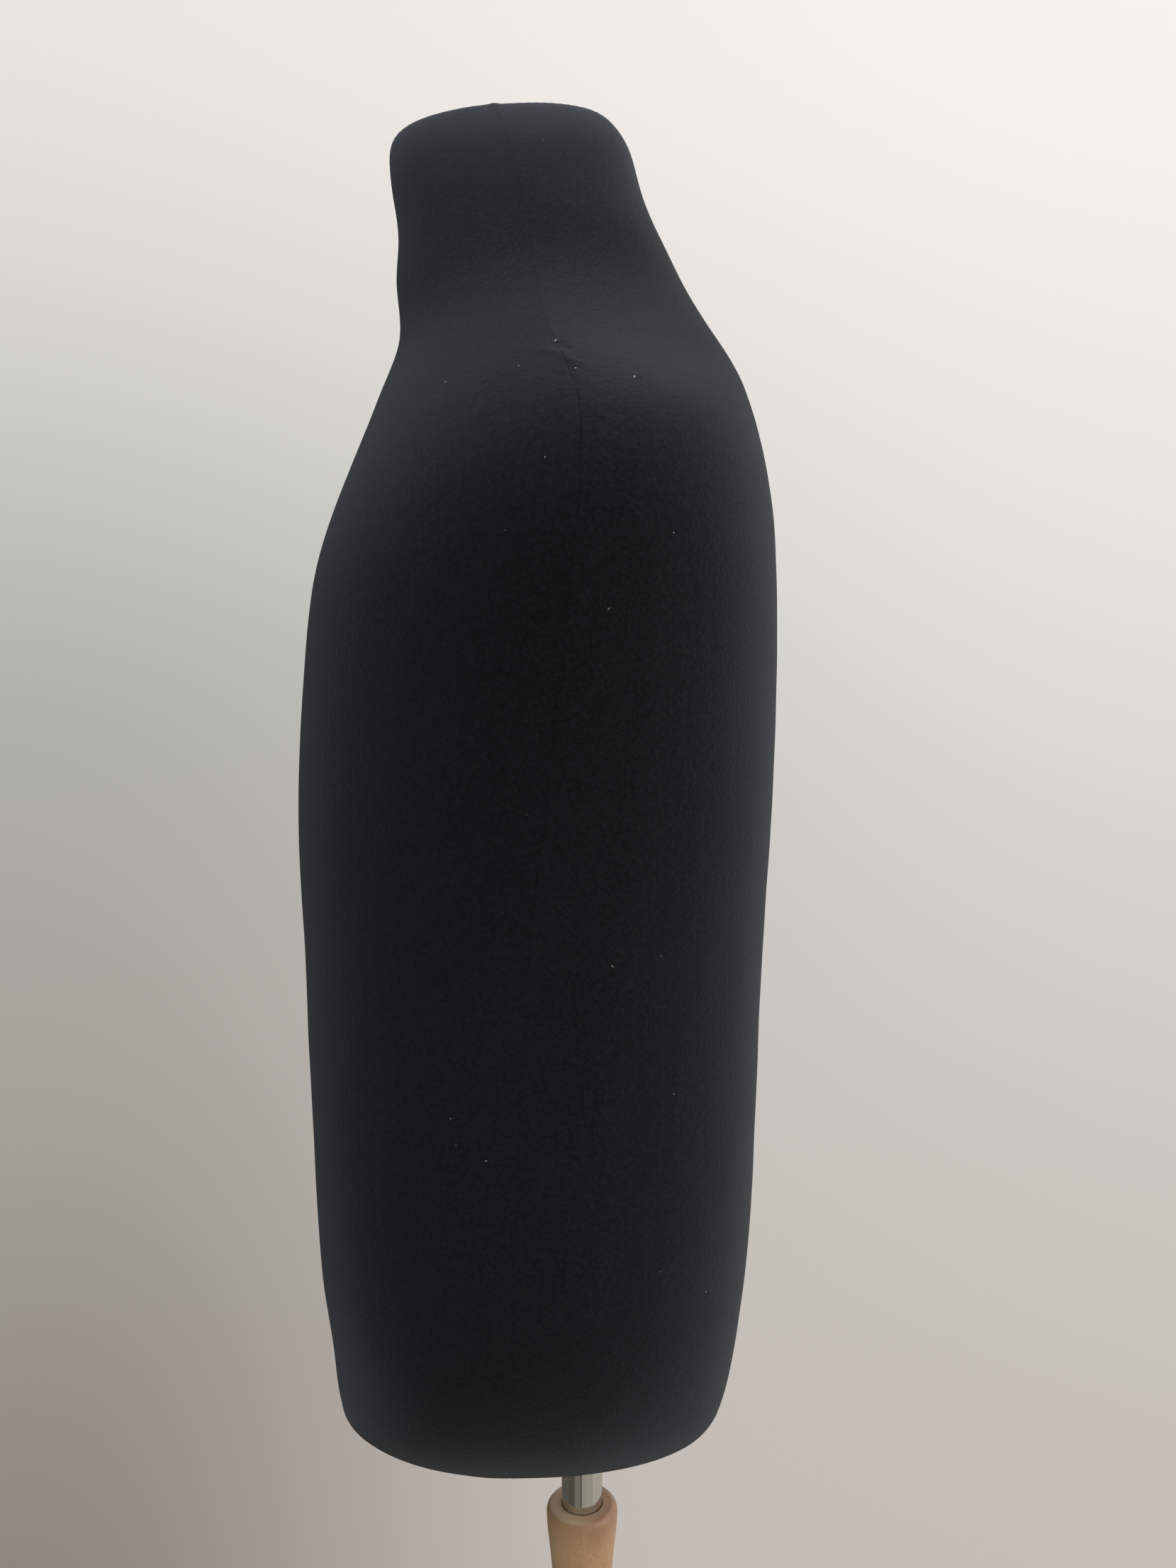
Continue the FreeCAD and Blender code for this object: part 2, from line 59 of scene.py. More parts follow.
# The torso's form, from the underside to the neck's top: height, front-most and rear-most Y,
# half width, the Y of the side seam, fullness of the front and of the rear quarters.
STATIONS = np.array([
    (676.0, -110.0, 42.0, 26.0, -41.0, 1.6, 2.4),
    (677.5, -131.0, 62.0, 43.0, -41.0, 1.65, 2.4),
    (684.0, -142.0, 75.0, 65.0, -40.5, 1.8, 2.4),
    (698.0, -145.0, 83.5, 87.0, -40.0, 2.05, 2.4),
    (716.0, -145.0, 87.0, 107.5, -39.0, 2.2, 2.4),
    (738.0, -145.5, 90.0, 126.0, -37.5, 2.25, 2.4),
    (768.0, -147.5, 93.5, 142.0, -36.0, 2.2, 2.35),
    (805.0, -151.0, 97.0, 152.0, -34.0, 2.2, 2.3),
    (860.0, -153.0, 99.5, 154.0, -32.0, 2.2, 2.3),
    (935.0, -155.0, 101.5, 149.0, -28.5, 2.2, 2.3),
    (1010.0, -156.5, 104.0, 150.0, -24.0, 2.2, 2.3),
    (1080.0, -156.0, 106.0, 158.0, -15.5, 2.2, 2.4),
    (1140.0, -150.5, 106.0, 169.0, -9.0, 2.2, 2.4),
    (1190.0, -142.0, 104.0, 179.5, -3.5, 2.2, 2.4),
    (1220.0, -132.0, 101.5, 183.0, 0.2, 2.1, 2.3),
    (1250.0, -119.5, 96.5, 175.5, 0.3, 2.0, 2.2),
    (1272.0, -111.5, 92.0, 157.0, -4.5, 1.9, 2.0),
    (1290.0, -105.0, 87.0, 134.0, -12.0, 1.8, 1.8),
    (1308.0, -99.0, 76.5, 110.0, -18.0, 1.8, 1.8),
    (1328.0, -98.5, 62.5, 88.0, -22.0, 1.9, 1.9),
    (1360.0, -98.0, 44.5, 67.5, -26.5, 2.1, 2.1),
    (1388.0, -100.5, 31.3, 57.0, -33.0, 2.1, 2.1),
    (1400.5, -102.0, 28.0, 53.0, -36.5, 2.05, 2.2),
    (1411.0, -102.5, 23.5, 47.5, -40.0, 2.0, 2.3),
    (1419.5, -99.5, 17.0, 40.5, -43.0, 1.95, 2.4),
    (1424.5, -89.0, 8.5, 32.0, -44.5, 1.85, 2.5),
    (1426.0, -73.0, -0.5, 22.0, -45.5, 1.85, 2.5),
])
# The neck's rings slope up towards the rear, from none to the full tilt over the rise.
NECK_TILT = 0.05
NECK_TILT_FROM = 1340.0
NECK_TILT_RISE = 60.0
NECK_CENTRE_Y = -38.0

POLE_HOLE_R = 15.5
TOP_SEAM_SHRINK = 0.8
CLOTH_THICK = 0.8
# How far the cloth's outside stands off the CAD covers, and how far a groove may dip below them.
# Both fade out towards the pole's hole.
CLOTH_CLEAR = 0.15
DEEPEST_DIP = -0.4
POLE_HOLE_FADE = 12.0

# The mesh: columns run along the panel and are closer together at its seams, rows run across it
# and are closer together at the shoulder.
COLUMNS = 140
ROWS = 350
SMOOTHING_ROUNDS = 3
# The form is laid out with these rows up the body and over each closed end. The points then drop
# onto the CAD covers from this far outside.
LAYOUT_ROWS = 700
CLOSING_ROWS = 40
FROM_OUTSIDE = 2.0
# How strongly the columns crowd to the seams (0 to 1) and the rows to the shoulder.
SEAM_CROWDING = 0.72
SHOULDER_Z = 1268.0
SHOULDER_CROWDING = 4.8
SHOULDER_CROWDING_SPREAD = 32.0

# The seams. Each panel's edge passes the seam by the overlap, so no gap is left. Only the rear
# panel dips to the seam by the groove's full depth, which is greater below the shoulder.
SEAM_OVERLAP = 0.01
RIDGE, RIDGE_WIDTH = 0.02, 5.0
GROOVE, GROOVE_WIDTH = 0.16, 0.55
FRONT_GROOVE = 0.2
DRAWN_GROOVE, DRAWN_Z, DRAWN_SPREAD = 0.34, 1262.0, 24.0
PUCKER, PUCKER_WIDTH, PUCKER_PITCH = 0.04, 7.0, 8.3
# The seam allowances' thick ends: (Z, spread) at the neck's top and under the torso.
BUNDLE, BUNDLE_WIDTH = 0.55, 2.6
BUNDLE_ENDS = [(1422.0, 5.0), (679.0, 4.0)]

# Unevenness of the cloth: (wave length, height).
LUMPS = [(110.0, 0.08), (85.0, 0.05), (64.0, 0.035), (47.0, 0.025), (33.0, 0.018), (21.0, 0.012)]
LUMPS_SEED = 5
WAVES_PER_LUMP = 3

# The gather at the shoulder's point, given on the left side. The right side has its mirror,
# a little weaker. Each line is (points, height, half width).
RIGHT_GATHER = 0.85
SHOULDER_LINES = [
    ([(143.0, -15.9, 1282.8), (145.7, -10.5, 1281.1), (149.7, -6.1, 1278.0), (152.4, 2.0, 1275.4)],
     0.2, 1.8),
    ([(136.4, -23.1, 1286.7), (143.0, -15.9, 1282.8)], 0.08, 2.6),
    ([(152.4, 2.0, 1275.4), (151.1, 10.1, 1275.0)], 0.08, 2.6),
    ([(139.0, -28.0, 1281.5), (144.5, -21.0, 1280.0), (148.5, -14.0, 1278.5)], -0.12, 3.6),
    ([(152.1, -5.1, 1276.1), (158.0, -3.0, 1271.0), (164.8, -1.6, 1264.5)], -0.35, 1.3),
    ([(163.0, -8.0, 1266.0), (172.0, -5.5, 1254.0)], 0.2, 3.2),
    ([(163.0, 5.0, 1265.0), (172.5, 6.0, 1252.0)], 0.2, 3.2),
]
# Each point is (place, height, radius).
SHOULDER_POINTS = [
    ((146.0, -8.0, 1280.8), 0.45, 10.0),
    ((140.1, -8.8, 1285.4), -1.2, 3.0),
    ((142.6, -5.6, 1283.6), -0.9, 2.0),
]


def bell(distance, width):
    """One at no distance, fading to nothing over about twice the width."""
    return np.exp(-((distance / width) ** 2))


def between_stations(steps):
    """The stations' values at fractional steps, smooth and without overshoot."""
    rise = np.diff(STATIONS, axis=0)
    both = rise[:-1] * rise[1:]
    slope = np.zeros_like(STATIONS)
    total = rise[:-1] + rise[1:]
    slope[1:-1] = np.where(both > 0, 2 * both / np.where(total == 0, 1, total), 0)
    slope[0] = rise[0]
    slope[-1] = rise[-1]
    low = np.clip(steps.astype(int), 0, len(STATIONS) - 2)
    part = (steps - low)[:, None]
    left = (1 + 2 * part) * (1 - part) ** 2 * STATIONS[low] + part * (1 - part) ** 2 * slope[low]
    right = part**2 * (3 - 2 * part) * STATIONS[low + 1] + part**2 * (part - 1) * slope[low + 1]
    return left + right


def tilt_at(z):
    """The slope of the ring at a height."""
    ramp = np.clip((z - NECK_TILT_FROM) / NECK_TILT_RISE, 0, 1)
    return NECK_TILT * ramp**2 * (3 - 2 * ramp)


def half_rings(rearward):
    """One half of the form as rows of points, with the underside and the neck's top closed."""
    u = np.linspace(0, 1, COLUMNS + 1)
    angle = math.pi * (u - SEAM_CROWDING * np.sin(2 * math.pi * u) / (2 * math.pi))
    sign = 1.0 if rearward else -1.0
    steps = np.linspace(0, len(STATIONS) - 1, LAYOUT_ROWS)
    z, front, back, half_width, seam_y, front_full, back_full = [
        column[:, None] for column in between_stations(steps).T]
    full = back_full if rearward else front_full
    reach = back - seam_y if rearward else seam_y - front
    cos, sin = np.cos(angle)[None, :], np.abs(np.sin(angle))[None, :]
    x = half_width * np.sign(cos) * np.abs(cos) ** (2 / full)
    y = seam_y + sign * reach * sin ** (2 / full)
    body = np.stack([x, y, z + tilt_at(z) * (y - NECK_CENTRE_Y)], axis=2)

    fade = np.linspace(0, 1, CLOSING_ROWS)[:-1, None, None]
    hole_z = np.full(COLUMNS + 1, z[0, 0])
    hole = np.stack([POLE_HOLE_R * cos[0], sign * POLE_HOLE_R * sin[0], hole_z], axis=1)
    under = hole * (1 - fade) + body[0] * fade
    end_y = np.full(COLUMNS + 1, seam_y[-1, 0])
    end_z = z[-1, 0] + tilt_at(z[-1, 0]) * (end_y - NECK_CENTRE_Y)
    middle = np.stack([body[-1][:, 0] * TOP_SEAM_SHRINK, end_y, end_z], axis=1)
    fade = np.linspace(0, 1, CLOSING_ROWS)[1:, None, None]
    over = body[-1] * (1 - fade) + middle * fade
    return np.concatenate([under, body, over])


def along(points):
    """Distances from the first row down each column."""
    steps = np.linalg.norm(np.diff(points, axis=0), axis=2)
    return np.concatenate([np.zeros((1, points.shape[1])), np.cumsum(steps, axis=0)])


def even_rows(points):
    """The same surface with its rows spread by arc length, closer together at the shoulder."""
    length = along(points)
    z = (points[1:, :, 2] + points[:-1, :, 2]) / 2
    crowd = 1 + SHOULDER_CROWDING * bell(z - SHOULDER_Z, SHOULDER_CROWDING_SPREAD)
    weight = np.cumsum(np.diff(length, axis=0) * crowd, axis=0)
    weight = np.concatenate([np.zeros((1, points.shape[1])), weight])
    even = np.linspace(0, 1, ROWS + 1)
    result = np.zeros((ROWS + 1, points.shape[1], 3))
    for column in range(points.shape[1]):
        share = weight[:, column] / weight[-1, column]
        for axis in range(3):
            result[:, column, axis] = np.interp(even, share, points[:, column, axis])
    return result


def normals_of(points, rearward):
    """Outward normals, from the directions of the rows and columns."""
    across = np.gradient(points, axis=1)
    down = np.gradient(points, axis=0)
    normal = np.cross(across, down)
    if not rearward:
        normal = -normal
    return normal / np.maximum(np.linalg.norm(normal, axis=2, keepdims=True), 1e-9)


def onto_form(points, normals, form):
    """Each point moved to the nearest place on the outside of the CAD covers."""
    flat = points.reshape(-1, 3) + FROM_OUTSIDE * normals.reshape(-1, 3)
    placed = [form.find_nearest(Vector(point) * MM)[0] / MM for point in flat]
    return np.array(placed).reshape(points.shape)


def smoothed(points, rounds):
    """The rows and columns drawn slightly taut; the seam's columns only along themselves."""
    for _ in range(rounds):
        mean = points.copy()
        mean[1:-1] = (points[:-2] + points[2:] + 2 * points[1:-1]) / 4
        points = mean.copy()
        points[:, 1:-1] = (mean[:, :-2] + mean[:, 2:] + 2 * mean[:, 1:-1]) / 4
    return points


def distance_to_line(points, line):
    """The distance from each point to a chain of straight pieces."""
    best = np.full(points.shape[:-1], 1e9)
    for start, end in zip(line[:-1], line[1:]):
        span = end - start
        part = np.clip(((points - start) @ span) / (span @ span), 0, 1)
        best = np.minimum(best, np.linalg.norm(points - start - part[..., None] * span, axis=-1))
    return best


def seam_profile(points, rearward):
    """How far the cloth stands out beside its seams: raised allowances, a groove and puckers."""
    near_left = np.linalg.norm(points - points[:, :1], axis=2)
    near_right = np.linalg.norm(points - points[:, -1:], axis=2)
    near_top = np.linalg.norm(points - points[-1:], axis=2)
    distance = np.minimum(np.minimum(near_left, near_right), near_top)
    side = np.where(near_left < near_right, 0.0, 2.0)
    # The puckers' pitch and strength drift along the seam.
    s = along(points)
    ripple = np.sin(2 * math.pi * s / PUCKER_PITCH + 1.7 * np.sin(s / 23.0 + side) + side)
    ripple = ripple * (0.6 + 0.4 * np.sin(s / 61.0 + 2 * side))
    z = points[..., 2]
    ridge = RIDGE * bell(distance, RIDGE_WIDTH)
    depth = GROOVE + DRAWN_GROOVE * bell(z - DRAWN_Z, DRAWN_SPREAD)
    groove = -depth * (1.0 if rearward else FRONT_GROOVE) * bell(distance, GROOVE_WIDTH)
    pucker = PUCKER * ripple * bell(distance, PUCKER_WIDTH)
    bundle = BUNDLE * sum(bell(z - end, spread) for end, spread in BUNDLE_ENDS)
    bundle = bundle * bell(distance, BUNDLE_WIDTH)
    return ridge + groove + pucker + bundle


def shoulder_profile(points):
    """The small gather where the seam turns over the shoulder's point."""
    total = np.zeros(points.shape[:2])
    mirrored = points * np.array([-1.0, 1.0, 1.0])
    for side, strength in ((points, 1.0), (mirrored, RIGHT_GATHER)):
        for places, height, width in SHOULDER_LINES:
            distance = distance_to_line(side, np.array(places))
            total += strength * height * bell(distance, width)
        for place, height, radius in SHOULDER_POINTS:
            distance = np.linalg.norm(side - np.array(place), axis=2)
            total += strength * height * bell(distance, radius)
    return total


def lumps(points):
    """Slight unevenness of the stretched cloth over its form."""
    random = np.random.default_rng(LUMPS_SEED)
    total = np.zeros(points.shape[:2])
    for wave, height in LUMPS:
        for _ in range(WAVES_PER_LUMP):
            direction = random.normal(size=3)
            direction = direction / np.linalg.norm(direction)
            phase = random.uniform(0, 2 * math.pi)
            total += height * np.sin(2 * math.pi * (points @ direction) / wave + phase)
    return total


def panel(name, rearward, form):
    """One jersey panel as a mesh whose UVs are its lengths in metres."""
    points = even_rows(half_rings(rearward))
    points = onto_form(points, normals_of(points, rearward), form)
    points = smoothed(points, SMOOTHING_ROUNDS)
    normals = normals_of(points, rearward)
    height = seam_profile(points, rearward) + shoulder_profile(points) + CLOTH_CLEAR + lumps(points)
    height = np.clip(height, DEEPEST_DIP, None)
    pole_side = bell(along(points), POLE_HOLE_FADE)
    points = points + normals * (height * (1 - pole_side))[..., None]
    past_seam = -SEAM_OVERLAP if rearward else SEAM_OVERLAP
    points[:, 0, 1] += past_seam
    points[:, -1, 1] += past_seam
    points[-1, :, 1] += past_seam

    down = along(points)
    across = np.linalg.norm(np.diff(points, axis=1), axis=2)
    across = np.concatenate([np.zeros((ROWS + 1, 1)), np.cumsum(across, axis=1)], axis=1)
    across = across - across[:, COLUMNS // 2][:, None]
    lengths = np.stack([across, down], axis=2).reshape(-1, 2) * MM

    index = np.arange((ROWS + 1) * (COLUMNS + 1)).reshape(ROWS + 1, COLUMNS + 1)
    corners = [index[:-1, :-1], index[:-1, 1:], index[1:, 1:], index[1:, :-1]]
    if not rearward:
        corners.reverse()
    faces = np.stack(corners, axis=2).reshape(-1, 4)
    mesh = bpy.data.meshes.new(name)
    mesh.from_pydata((points.reshape(-1, 3) * MM).tolist(), [], faces.tolist())
    layer = mesh.uv_layers.new(name="UVMap")
    layer.data.foreach_set("uv", lengths[faces.reshape(-1)].reshape(-1))
    mesh.shade_smooth()
    ends = np.zeros(2 * len(mesh.edges), dtype=np.int32)
    mesh.edges.foreach_get("vertices", ends)
    row, column = np.divmod(ends.reshape(-1, 2), COLUMNS + 1)
    cut_across = ((row == 0) | (row == ROWS)).all(axis=1)
    cut_along = ((column == 0) | (column == COLUMNS)).all(axis=1)
    mesh.edges.foreach_set("use_edge_sharp", cut_across | cut_along)
    cloth = bpy.data.objects.new(name, mesh)
    bpy.context.scene.collection.objects.link(cloth)
    thick = cloth.modifiers.new("thickness", "SOLIDIFY")
    thick.thickness = CLOTH_THICK * MM
    thick.offset = -1
    thick.use_rim = True
    return cloth


def form_of(meshes):
    """The meshes' surfaces together, to lay cloth or lint on."""
    places, faces = [], []
    for mesh in meshes:
        start = len(places)
        places += [vertex.co.copy() for vertex in mesh.vertices]
        faces += [[start + i for i in face.vertices] for face in mesh.polygons]
    return BVHTree.FromPolygons(places, faces)


# ---- lint caught on the jersey ----

# Each bit is (Y, Z, length, thickness, direction in degrees from level), on the left side.
LINT = [
    (-10.7, 1287.8, 1.3, 0.42, 60), (-1.7, 1272.7, 0.9, 0.30, 10), (23.7, 1269.6, 2.0, 0.34, 60),
    (-26.7, 1274.7, 0.8, 0.26, 80), (-60.6, 1270.4, 0.9, 0.32, 20), (-14.3, 1232.6, 0.9, 0.22, 45),
    (12.7, 1169.3, 1.8, 0.16, 35), (40.5, 1201.6, 0.8, 0.24, 0), (15.2, 1002.4, 1.8, 0.16, -40),
    (-61.9, 927.2, 0.8, 0.24, 70), (-44.9, 907.7, 0.9, 0.28, 10), (45.5, 933.4, 0.9, 0.2, 30),
    (64.0, 820.9, 0.8, 0.24, 50),
]
LINT_CLEAR = 0.12
LINT_SEED = 3
LINT_BOW = 0.25
LINT_RINGS, LINT_SIDES = 7, 6


def lint(form):
    """Short pale fibres that lie on the cloth."""
    random = np.random.default_rng(LINT_SEED)
    mesh = bpy.data.meshes.new("lint")
    places, faces = [], []
    for y, z, length, thick, direction in LINT:
        hit, normal, _, _ = form.ray_cast(Vector((1.0, y * MM, z * MM)), Vector((-1, 0, 0)))
        normal = Vector(normal) if normal.x > 0 else -Vector(normal)
        side = normal.cross(Vector((0, 0, 1))).normalized()
        up = side.cross(normal)
        angle = math.radians(direction)
        ahead = -side * math.cos(angle) + up * math.sin(angle)
        sideways = ahead.cross(normal)
        bow = random.uniform(-LINT_BOW, LINT_BOW) * length * MM
        start = len(places)
        for i in range(LINT_RINGS):
            part = i / (LINT_RINGS - 1)
            off_middle = (2 * part - 1) ** 2
            centre = (hit + normal * (thick / 2 + LINT_CLEAR) * MM
                      + ahead * (part - 0.5) * length * MM + sideways * bow * (1 - off_middle))
            thin = thick / 2 * MM * (1 - 0.75 * off_middle)
            for k in range(LINT_SIDES):
                turn = 2 * math.pi * k / LINT_SIDES
                around = sideways * math.cos(turn) + normal * math.sin(turn)
                places.append(centre + around * thin)
        for i in range(LINT_RINGS - 1):
            for k in range(LINT_SIDES):
                a = start + i * LINT_SIDES + k
                b = start + i * LINT_SIDES + (k + 1) % LINT_SIDES
                faces.append((a, b, b + LINT_SIDES, a + LINT_SIDES))
        faces.append([start + k for k in reversed(range(LINT_SIDES))])
        faces.append([start + (LINT_RINGS - 1) * LINT_SIDES + k for k in range(LINT_SIDES)])
    mesh.from_pydata([tuple(place) for place in places], [], faces)
    mesh.shade_smooth()
    piece = bpy.data.objects.new("lint", mesh)
    bpy.context.scene.collection.objects.link(piece)
    return piece


# ---- materials ----

class Nodes:
    """Adds nodes to a material's or the world's tree."""

    def __init__(self, tree):
        self.tree = tree

    def feed(self, socket, value):
        if isinstance(value, bpy.types.NodeSocket):
            self.tree.links.new(value, socket)
        else:
            socket.default_value = value

    def add(self, kind, inputs=None, **settings):
        node = self.tree.nodes.new("ShaderNode" + kind)
        for name, value in settings.items():
            setattr(node, name, value)
        for key, value in (inputs or {}).items():
            self.feed(node.inputs[key], value)
        return node

    def math(self, operation, a, b=0.0, c=0.0, clamp=False):
        node = self.add("Math", {0: a, 1: b, 2: c}, operation=operation, use_clamp=clamp)
        return node.outputs[0]

    def noise(self, where, scale, detail=3.0, roughness=0.5, distortion=0.0):
        node = self.add("TexNoise", {"Vector": where, "Scale": scale, "Detail": detail,
                                     "Roughness": roughness, "Distortion": distortion})
        return node.outputs["Fac"]

    def stretched(self, where, scale, rotation=(0, 0, 0)):
        inputs = {"Vector": where, "Scale": scale, "Rotation": rotation}
        return self.add("Mapping", inputs).outputs[0]

    def fade(self, value, low, high, at_low=0.0, at_high=1.0):
        ends = {"From Min": low, "From Max": high, "To Min": at_low, "To Max": at_high}
        node = self.add("MapRange", {"Value": value, **ends}, interpolation_type="SMOOTHSTEP")
        return node.outputs[0]

    def ramp(self, value, stops, interpolation="LINEAR"):
        node = self.add("ValToRGB", {"Fac": value})
        node.color_ramp.interpolation = interpolation
        elements = node.color_ramp.elements
        while len(elements) < len(stops):
            elements.new(0.5)
        for element, (place, colour) in zip(elements, stops):
            element.position = place
            element.color = (*colour, 1.0)
        return node.outputs["Color"]

    def mix(self, part, a, b, blend="MIX"):
        node = self.add("Mix", data_type="RGBA", blend_type=blend)
        for place, value in ((0, part), (6, a), (7, b)):
            if isinstance(value, tuple):
                value = (*value, 1.0)
            self.feed(node.inputs[place], value)
        return node.outputs[2]

    def bump(self, height, distance, strength=1.0, normal=None):
        inputs = {"Height": height, "Distance": distance, "Strength": strength}
        if normal is not None:
            inputs["Normal"] = normal
        return self.add("Bump", inputs).outputs[0]

    def parts(self, vector):
        return self.add("SeparateXYZ", {"Vector": vector}).outputs


def material(name):
    made = bpy.data.materials.new(name)
    made.use_nodes = True
    return made, Nodes(made.node_tree), made.node_tree.nodes["Principled BSDF"].inputs


# Pitches in metres: the knit's wales and courses, the beech's rings, the board's plies and the
# tape's weave. The beech's pith lies to one side of the part's own axis.
WALE, COURSE = 0.00095, 0.00075
RING = 0.0036
PITH_X, PITH_Y = 0.062, 0.028
PLY = 0.0008
WEAVE = 0.003

# Heights in metres where the painted light on the jersey's neck starts and ends, and where the
# painted shade below the column's top starts and ends and its flat top begins.
NECK_LIGHT_FROM, NECK_LIGHT_TO = 1.352, 1.425
TOP_SHADE_FROM, TOP_SHADE_TO = 0.596, 0.617
FLAT_TOP_FROM, FLAT_TOP_TO = 0.6183, 0.6196


def jersey():
    """Black knit with the loops in its bump, a short pile, and painted light on the neck's top."""
    made, n, skin = material("jersey")
    place = n.add("TexCoord").outputs
    across = n.parts(place["UV"])
    wale = n.math("DIVIDE", across[0], WALE)
    course = n.math("DIVIDE", across[1], COURSE)
    fold = n.math("MULTIPLY", n.math("PINGPONG", wale, 0.5), 2.0)
    lean = n.math("MULTIPLY_ADD", fold, 0.5, course)
    loop = n.math("SINE", n.math("MULTIPLY", lean, 2 * math.pi))
    rib = n.math("SUBTRACT", 1.0, n.math("MULTIPLY", fold, fold))
    knit = n.math("MULTIPLY_ADD", loop, 0.35, rib)
    fuzz = n.noise(place["Object"], 1500.0, 3.0, 0.6)
    cloud = n.noise(place["Object"], 22.0, 4.0, 0.55)
    streak = n.noise(n.stretched(place["UV"], (900.0, 14.0, 1.0)), 1.0, 2.0)
    pile = n.noise(place["Object"], 480.0, 3.0, 0.65)
    deep, lit = (0.0019, 0.0021, 0.0029), (0.0037, 0.0041, 0.0053)
    shade = n.mix(cloud, deep, lit)
    shade = n.mix(n.fade(pile, 0.36, 0.68), shade, (0.0098, 0.0107, 0.0131))
    shade = n.mix(n.math("MULTIPLY", fuzz, 0.55), shade, (0.0085, 0.0092, 0.0105))
    shade = n.mix(n.math("MULTIPLY", streak, 0.3), shade, (0.0024, 0.0026, 0.003))
    # Painted light: the jersey is coloured lighter and bluer towards the neck's top.
    painted_neck_light = n.fade(n.parts(place["Object"])[2], NECK_LIGHT_FROM, NECK_LIGHT_TO, 0.0, 0.82)
    shade = n.mix(painted_neck_light, shade, (0.024, 0.027, 0.035))
    specks = n.add("TexVoronoi", {"Vector": place["Object"], "Scale": 95.0, "Randomness": 1.0})
    lot = n.add("SeparateColor", {0: specks.outputs["Color"]}).outputs[0]
    chosen = n.math("GREATER_THAN", lot, 0.93)
    small = n.math("LESS_THAN", specks.outputs["Distance"], 0.035)
    speck = n.math("MULTIPLY", chosen, small)
    shade = n.mix(n.math("MULTIPLY", speck, 0.5), shade, (0.16, 0.165, 0.17))
    n.feed(skin["Base Color"], shade)
    n.feed(skin["Roughness"], n.math("MULTIPLY_ADD", fuzz, 0.12, 0.82))
    skin["Specular IOR Level"].default_value = 0.15
    skin["Sheen Weight"].default_value = 0.11
    skin["Sheen Roughness"].default_value = 0.42
    skin["Sheen Tint"].default_value = (0.80, 0.90, 1.0, 1.0)
    surface = n.bump(knit, 0.00010, 0.8)
    surface = n.bump(fuzz, 0.00012, 0.5, surface)
    surface = n.bump(pile, 0.00045, 0.8, surface)
    n.feed(skin["Normal"], surface)
    return made


def lint_fibre():
    made, n, skin = material("lint_fibre")
    place = n.add("TexCoord").outputs["Object"]
    n.feed(skin["Base Color"], n.mix(n.noise(place, 900.0), (0.48, 0.48, 0.48), (0.82, 0.81, 0.78)))
    skin["Roughness"].default_value = 0.9
    return made


